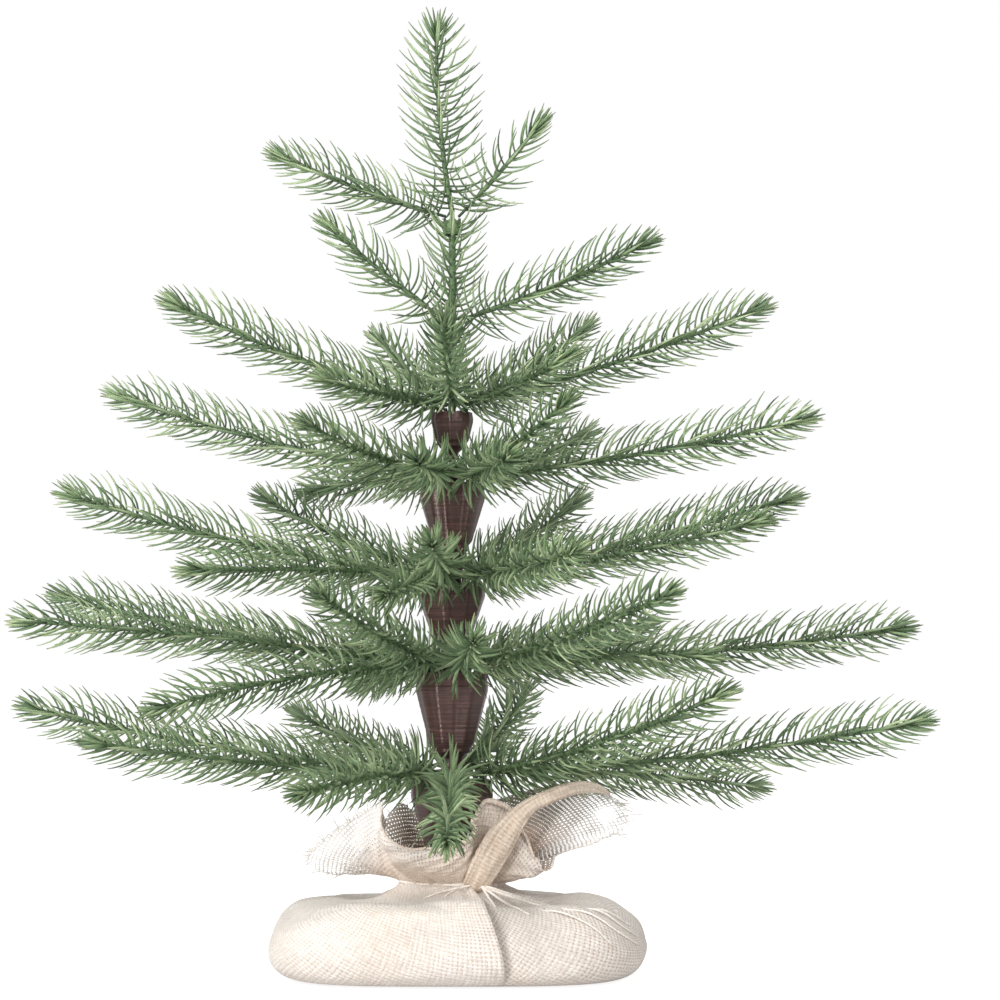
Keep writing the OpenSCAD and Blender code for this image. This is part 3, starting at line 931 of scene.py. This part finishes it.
def frays(co):
    """Loose threads along the collar's raw edge, each a thin bent fibre running on from the cloth."""
    rng = np.random.default_rng(12)
    columns = co.shape[1]
    shape = Shape()
    _, _, sheer, _ = collar_grid(3, columns)
    for c in np.sort(rng.choice(columns, 300, replace=False)):
        loose = float(sheer[0, c])
        if rng.uniform() > 0.35 + 0.65 * loose:
            continue
        root = co[-3, c]
        outward = unit(co[-1, c] - co[-6, c])
        along = unit(co[-1, min(c + 2, columns - 1)] - co[-1, max(c - 2, 0)])
        length = rng.uniform(2.5, 5 + 8 * loose) * MM
        heading = unit(outward + rng.normal(0, 0.35) * along + rng.normal(0, 0.18, 3))
        bend = rng.normal(0, 0.4, 3) - 0.35 * UP
        q = np.linspace(0, 1, 6)[:, None]
        path = root + length * (q * heading + q**2 * 0.5 * bend)
        verts, faces = sweep(path, np.linspace(0.26, 0.14, 6) * MM, 4)
        shape.add(verts, faces)
    shape.build("collar_frays", "trunk", "burlap", [FIBRE])


# ---------------------------------------------------------------- twine


KNOT = np.array([18, -32, 56.2]) * MM
TWINE_R = 0.8 * MM

# Each loose strand after it leaves the knot: (direction in degrees, place down the bag's outline, mm off it)
TRAILS = [
    [(-57, 0.30, 4), (-49, 0.40, 1.6), (-41, 0.455, 1.2), (-33, 0.50, 1.0)],
    [(-52, 0.28, 5), (-44, 0.38, 2.0), (-37, 0.43, 1.2), (-30, 0.47, 1.0)],
    [(-64, 0.28, 3), (-57, 0.39, 1.4), (-50, 0.45, 1.0), (-45, 0.50, 1.0)],
    [(-46, 0.26, 5), (-38, 0.36, 2.0), (-30, 0.42, 1.2)],
    [(-66, 0.20, 2), (-68, 0.32, 1.2), (-66, 0.40, 0.8)],
    [(-84, 0.03, 2), (-100, 0.05, 2), (-118, 0.14, 1.6), (-124, 0.27, 1.0)],
    [(-90, 0.04, 2), (-98, 0.14, 1.4), (-97, 0.30, 1.0), (-93, 0.38, 0.8)],
]
STOUT = 5  # the strands before this one are thicker than the rest


def twine(shape, path, radii, sides=12, twist=1100):
    """A three-stranded cord along path."""
    shape.add(*sweep(path, radii, sides, twist=twist, lobes=3, lobe_depth=0.3))


def neck_tie():
    """Three turns of thin twine and a small knot, its loose strands trailing over the bag's shoulder."""
    shape = Shape()
    for turn, z in enumerate((NECK_Z, NECK_Z + 1.9 * MM, NECK_Z + 0.8 * MM)):
        angle = np.linspace(0, 2 * math.pi, 121)
        r = NECK_R + (1.0 + 0.9 * (turn == 2)) * MM + 0.35 * MM * np.sin(9 * angle + turn)
        tilt = 0.9 * MM * np.sin(angle + 2 * turn)
        path = np.stack([r * np.cos(angle), r * np.sin(angle), z + tilt], axis=1)
        twine(shape, path, TWINE_R)
    a = np.linspace(0, 2 * math.pi, 40)
    for lean, reach in ((0.5, 2.6), (-0.6, 2.2)):
        loop = [reach * np.cos(a), -1.2 + 1.3 * np.sin(2 * a + lean), 1.5 * np.sin(a) + lean * np.cos(a)]
        twine(shape, np.stack(loop, axis=1) * MM + KNOT, 0.85 * MM)
    for number, trail in enumerate(TRAILS):
        angle, t, lift = np.array(trail, float).T
        co = bag_cloth(np.radians(angle), t)
        co = co + unit(co - np.array([BAG_X, 0, 0.01])) * lift[:, None] * MM
        path = through(np.vstack([KNOT + np.array([0, 0.5, 0.4 * number - 1]) * MM, co]), 60)
        thick = np.linspace(1, 0.55, 60) * (0.95 if number < STOUT else 0.6) * MM
        twine(shape, path, thick, sides=9, twist=1300)
    shape.build("neck_tie", "trunk", "jute_twine", [FIBRE], replaces=["neck_twine"])


burlap_bag()
collar = burlap_collar()
folded_edge()
frays(collar)
neck_tie()


# ---------------------------------------------------------------- camera, light and floor


EYE, AIM, LENS_MM = (0.0303, -1.8, 0.2019), (0.0303, 0, 0.2955), 102.7

# Each soft light: name, place, what it points at, size of its side and power in watts
LIGHTS = [
    ("key", (-1.0, -1.3, 1.25), (0, 0, 0.3), 0.6, 29),
    ("fill", (1.2, -1.3, 0.7), (0, 0, 0.3), 1.0, 11),
    ("glint", (-1.1, -1.4, 0.17), (0, 0, 0.35), 0.34, 11),
    ("high", (0.3, 0.5, 1.9), (0, 0, 0.3), 1.0, 14),
]


def aimed(obj, place, target):
    """Puts a camera or a light in the scene, pointing at its target."""
    bpy.context.scene.collection.objects.link(obj)
    obj.location = place
    obj.rotation_euler = (Vector(target) - Vector(place)).to_track_quat("-Z", "Y").to_euler()


def look():
    """The photograph's view: from far off, a third of the way up the tree, looking slightly upwards."""
    data = bpy.data.cameras.new("view")
    data.sensor_width = 36
    data.lens = LENS_MM
    camera = bpy.data.objects.new("view", data)
    aimed(camera, EYE, AIM)
    bpy.context.scene.camera = camera


def area(name, place, target, size, power):
    data = bpy.data.lights.new(name, "AREA")
    data.size = size
    data.energy = power
    aimed(bpy.data.objects.new(name, data), place, target)


def studio():
    """A white room and floor. The room lights less than it shows, so that shadows keep their depth."""
    world = bpy.data.worlds.new("studio")
    bpy.context.scene.world = world
    world.use_nodes = True
    nodes, links = world.node_tree.nodes, world.node_tree.links
    seen = nodes.new("ShaderNodeLightPath")
    scale = nodes.new("ShaderNodeMapRange")
    scale.inputs["To Min"].default_value = 0.42
    scale.inputs["To Max"].default_value = 1.0
    links.new(seen.outputs["Is Camera Ray"], scale.inputs["Value"])
    links.new(scale.outputs["Result"], nodes["Background"].inputs["Strength"])
    nodes["Background"].inputs["Color"].default_value = (1, 1, 1, 1)
    for light in LIGHTS:
        area(*light)
    floor = Nodes("pale_floor")
    glow = floor.math("ADD", 0.18, floor.math("MULTIPLY", floor.node("LightPath", "Is Camera Ray"), 0.62))
    floor.finish(
        Base_Color=(0.55, 0.55, 0.55, 1), Roughness=0.9, Emission_Color=(1, 1, 1, 1), Emission_Strength=glow
    )
    bpy.ops.mesh.primitive_plane_add(size=40, location=(0, 0, 0))
    plane = bpy.context.object
    plane.name = "floor"
    plane.data.materials.append(floor.material)
    bpy.context.scene.view_settings.view_transform = "Standard"


look()
studio()
